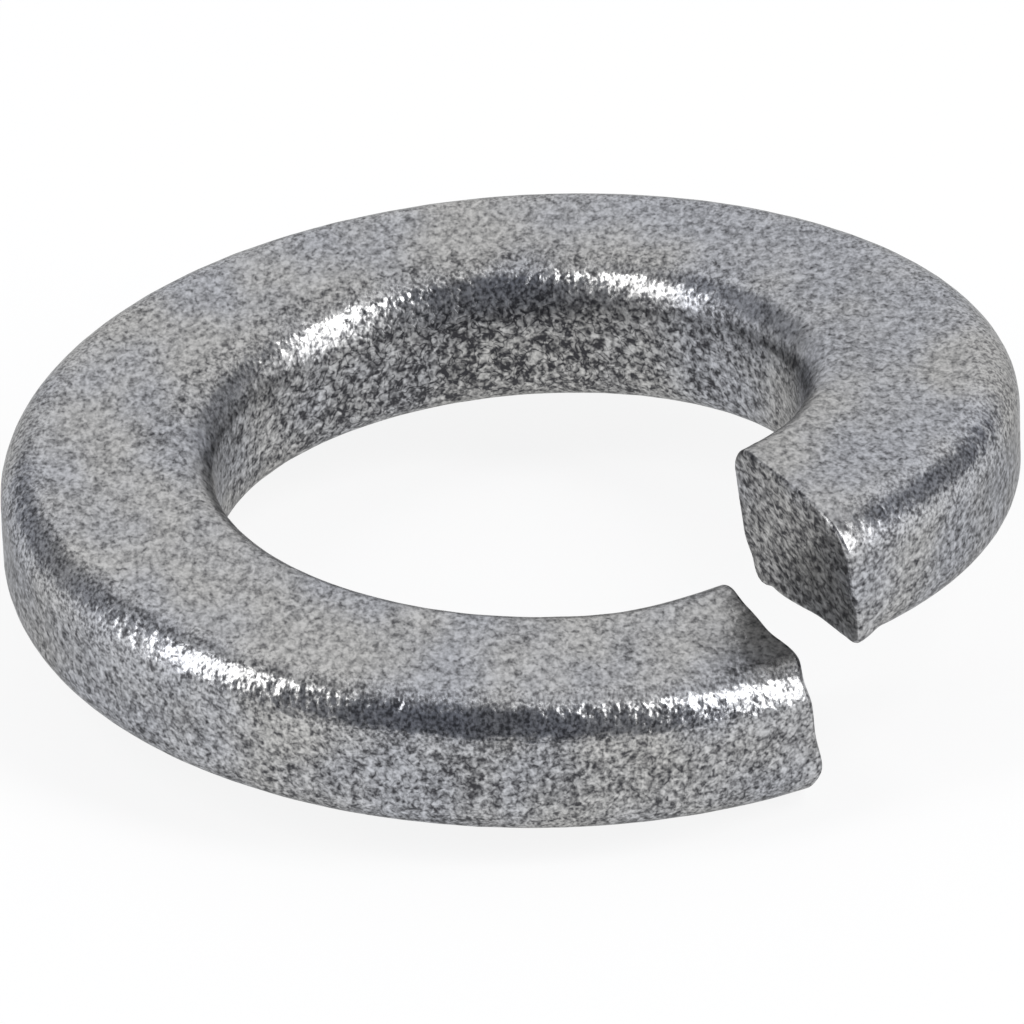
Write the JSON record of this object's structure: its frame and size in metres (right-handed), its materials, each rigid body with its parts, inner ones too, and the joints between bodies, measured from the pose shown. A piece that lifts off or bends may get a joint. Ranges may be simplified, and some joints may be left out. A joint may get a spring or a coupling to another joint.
{
  "type": "spring lock washer",
  "caption": "Split helical spring washer of rolled steel wire that presses back on a bolt head or nut to keep it tight.",
  "frame": {"origin": "on the axis of the bore, level with the lowest point of the ring", "axes": "+Z along the axis of the bore, towards the higher of the two ends; +X from the axis through the split"},
  "size_m": [0.017, 0.017, 0.005],
  "materials": {
    "galvanised_steel": "zinc coat, finely pitted on the faces and burnished bright on the rounded wire corners"
  },
  "bodies": {
    "root": {"lock_washer": "galvanised_steel"}
  },
  "joints": []
}
